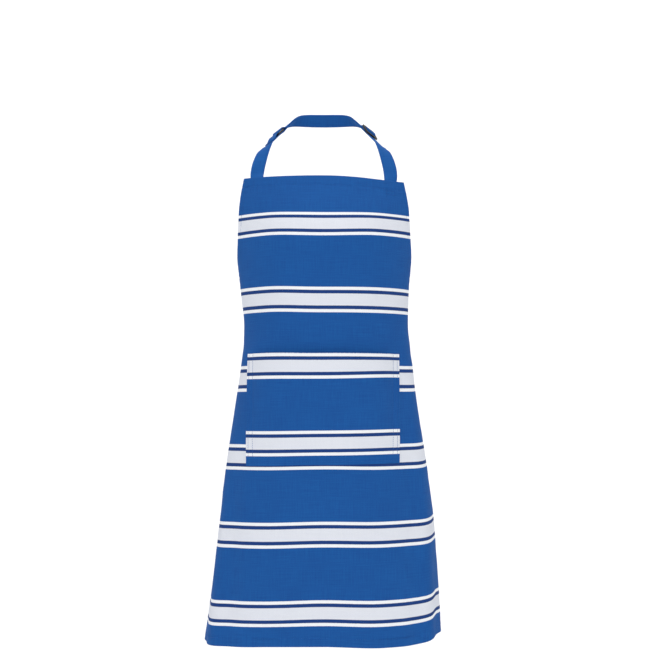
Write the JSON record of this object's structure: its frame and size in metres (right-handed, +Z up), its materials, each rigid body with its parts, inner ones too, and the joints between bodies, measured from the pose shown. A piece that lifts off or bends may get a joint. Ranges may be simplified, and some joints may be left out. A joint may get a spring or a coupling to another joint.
{
  "type": "butcher apron",
  "caption": "Striped cotton bib apron with a patch pocket, an adjustable neck strap with ring and slider, and waist ties tied in a bow at the back.",
  "frame": {"origin": "the point at the back of the neck where the neck strap bears, on the strap's inner face", "axes": "+Z up along the wearer, -Y the way the bib faces, +X the wearer's left"},
  "size_m": [0.4422, 0.2268, 0.9803],
  "materials": {
    "striped_cotton": "matt slub weave, royal blue with white and off-white yarn-dyed stripes",
    "strap_cotton": "matt plain weave, royal blue",
    "blue_thread": "blue sewing thread",
    "black_hardware": "satin black coated metal"
  },
  "bodies": {
    "apron": {"body_panel": "striped_cotton", "pocket_panel": "striped_cotton", "neck_strap_short": "strap_cotton", "neck_strap_long": "strap_cotton", "waist_tie_left": "strap_cotton", "waist_tie_right": "strap_cotton", "bib_hem_stitching": "blue_thread", "armhole_stitching_left": "blue_thread", "armhole_stitching_right": "blue_thread", "side_hem_stitching_left": "blue_thread", "side_hem_stitching_right": "blue_thread", "bottom_hem_stitching": "blue_thread", "pocket_mouth_stitching": "blue_thread", "pocket_outer_stitching": "blue_thread", "pocket_inner_stitching": "blue_thread", "strap_box_stitching_left": "blue_thread", "strap_box_stitching_right": "blue_thread", "ring_loop_stitching": "blue_thread", "tie_box_stitching_left": "blue_thread", "tie_box_stitching_right": "blue_thread"},
    "ring": {"strap_ring": "black_hardware"},
    "slider": {"strap_slider": "black_hardware", "strap_end_loop": "strap_cotton", "slider_loop_stitching": "blue_thread"}
  },
  "joints": [
    {"name": "slider_travel", "type": "slide", "parent": "apron", "child": "slider", "axis": [0.4475, -0.664, -0.599], "range_m": [0, 0.028]},
    {"name": "ring_tip", "type": "hinge", "parent": "apron", "child": "ring", "pos_m": [-0.09265, -0.05162, -0.03993], "axis": [0.6255, -0.7111, 0.321], "range_deg": [-4, 4]}
  ]
}
